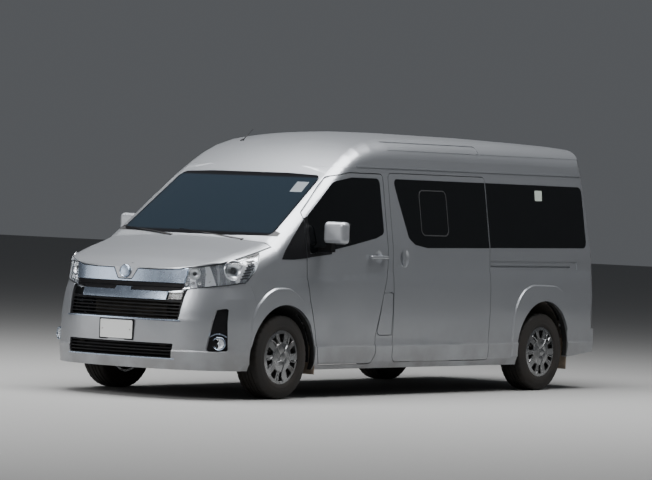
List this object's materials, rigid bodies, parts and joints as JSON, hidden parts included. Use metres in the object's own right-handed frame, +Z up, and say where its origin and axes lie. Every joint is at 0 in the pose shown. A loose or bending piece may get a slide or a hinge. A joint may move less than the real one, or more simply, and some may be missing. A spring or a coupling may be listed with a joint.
{
  "type": "high-roof passenger van for patient transport",
  "caption": "Long high-roof silver van with dark side windows, hinged front doors, bonnet and tailgate, steered and turning wheels.",
  "frame": {"origin": "on the ground under the middle of the overall box", "axes": "+X forwards, +Y to the van's left, +Z up"},
  "size_m": [5.9069, 2.428, 2.2618],
  "materials": {
    "paint": "metallic silver gloss",
    "tinted_glass": "dark tinted",
    "screen_glass": "tinted",
    "clear_lens": "clear",
    "red_lens": "red lens",
    "chrome": "bright",
    "black_plastic": "satin black",
    "underbody": "matt black",
    "machinery": "dark",
    "exhaust_steel": "dull",
    "seat_fabric": "woven",
    "tyre": "dusty",
    "wheel_silver": "silver paint"
  },
  "bodies": {
    "body": {"floor_pan": "underbody", "frame_rails": "underbody", "roof": "paint", "cowl": "black_plastic", "bumper_front": "paint", "bumper_rear": "paint", "grille": "black_plastic", "grille_chrome": "chrome", "lower_grille": "black_plastic", "windscreen": "screen_glass", "sliding_door": "paint", "dashboard": "black_plastic", "seat_driver": "seat_fabric", "seat_passenger": "seat_fabric", "bench_row_1": "seat_fabric", "bench_row_2": "seat_fabric", "bench_row_3": "seat_fabric", "engine": "machinery", "radiator": "underbody", "fuel_tank": "underbody", "exhaust": "exhaust_steel", "rear_axle": "machinery", "front_suspension": "machinery", "fender_left": "paint", "fender_right": "paint", "side_front_left": "paint", "side_front_right": "paint", "side_rear_left": "paint", "side_rear_right": "paint", "headlamp_left": "clear_lens", "headlamp_right": "clear_lens", "fog_lamp_left": "black_plastic", "fog_lamp_right": "black_plastic", "glass_mid_left": "tinted_glass", "glass_mid_right": "tinted_glass", "glass_rear_left": "tinted_glass", "glass_rear_right": "tinted_glass", "tail_lamp_left": "red_lens", "tail_lamp_right": "red_lens"},
    "door_left": {"door_left": "paint", "door_glass_left": "tinted_glass", "mirror_left": "paint"},
    "door_right": {"door_right": "paint", "door_glass_right": "tinted_glass", "mirror_right": "paint"},
    "bonnet": {"bonnet": "paint"},
    "tailgate": {"tailgate": "paint", "tailgate_glass": "tinted_glass"},
    "fuel_lid": {"fuel_lid": "paint"},
    "steering_wheel": {"steering_wheel": "black_plastic"},
    "knuckle_left": {"knuckle_left": "machinery"},
    "knuckle_right": {"knuckle_right": "machinery"},
    "wheel_front_left": {"tyre_front_left": "tyre", "wheel_front_left": "wheel_silver"},
    "wheel_front_right": {"tyre_front_right": "tyre", "wheel_front_right": "wheel_silver"},
    "wheel_rear_left": {"tyre_rear_left": "tyre", "wheel_rear_left": "wheel_silver"},
    "wheel_rear_right": {"tyre_rear_right": "tyre", "wheel_rear_right": "wheel_silver"}
  },
  "joints": [
    {"name": "door_left_hinge", "type": "hinge", "parent": "body", "child": "door_left", "pos_m": [1.6395, 0.974, 0.8], "axis": [0, 0, -1], "range_deg": [0, 70]},
    {"name": "door_right_hinge", "type": "hinge", "parent": "body", "child": "door_right", "pos_m": [1.6395, -0.974, 0.8], "axis": [0, 0, 1], "range_deg": [0, 70]},
    {"name": "bonnet_hinge", "type": "hinge", "parent": "body", "child": "bonnet", "pos_m": [2.0505, 0, 1.32], "axis": [0, -1, 0], "range_deg": [0, 55]},
    {"name": "tailgate_hinge", "type": "hinge", "parent": "body", "child": "tailgate", "pos_m": [-2.7895, 0, 2.048], "axis": [0, 1, 0], "range_deg": [0, 85]},
    {"name": "fuel_lid_hinge", "type": "hinge", "parent": "body", "child": "fuel_lid", "pos_m": [0.4215, 0.974, 0.7], "axis": [0, 0, 1], "range_deg": [0, 95]},
    {"name": "steer_left", "type": "hinge", "parent": "body", "child": "knuckle_left", "pos_m": [1.9325, 0.77, 0.349], "axis": [0, 0, 1], "range_deg": [-35, 35]},
    {"name": "steer_right", "type": "hinge", "parent": "body", "child": "knuckle_right", "pos_m": [1.9325, -0.77, 0.349], "axis": [0, 0, 1], "range_deg": [-35, 35]},
    {"name": "steering_wheel_turn", "type": "hinge", "parent": "body", "child": "steering_wheel", "pos_m": [1.2925, -0.43, 1.12], "axis": [-0.8192, 0, 0.5736], "range_deg": [-525, 525]},
    {"name": "spin_front_left", "type": "hinge", "parent": "knuckle_left", "child": "wheel_front_left", "pos_m": [1.9325, 0.8275, 0.349], "axis": [0, 1, 0], "continuous": true},
    {"name": "spin_front_right", "type": "hinge", "parent": "knuckle_right", "child": "wheel_front_right", "pos_m": [1.9325, -0.8275, 0.349], "axis": [0, 1, 0], "continuous": true},
    {"name": "spin_rear_left", "type": "hinge", "parent": "body", "child": "wheel_rear_left", "pos_m": [-1.9275, 0.825, 0.349], "axis": [0, 1, 0], "continuous": true},
    {"name": "spin_rear_right", "type": "hinge", "parent": "body", "child": "wheel_rear_right", "pos_m": [-1.9275, -0.825, 0.349], "axis": [0, 1, 0], "continuous": true}
  ],
  "couplings": [
    {"joint": "steer_right", "follows": "steer_left", "ratio": 1},
    {"joint": "steering_wheel_turn", "follows": "steer_left", "ratio": 15}
  ]
}
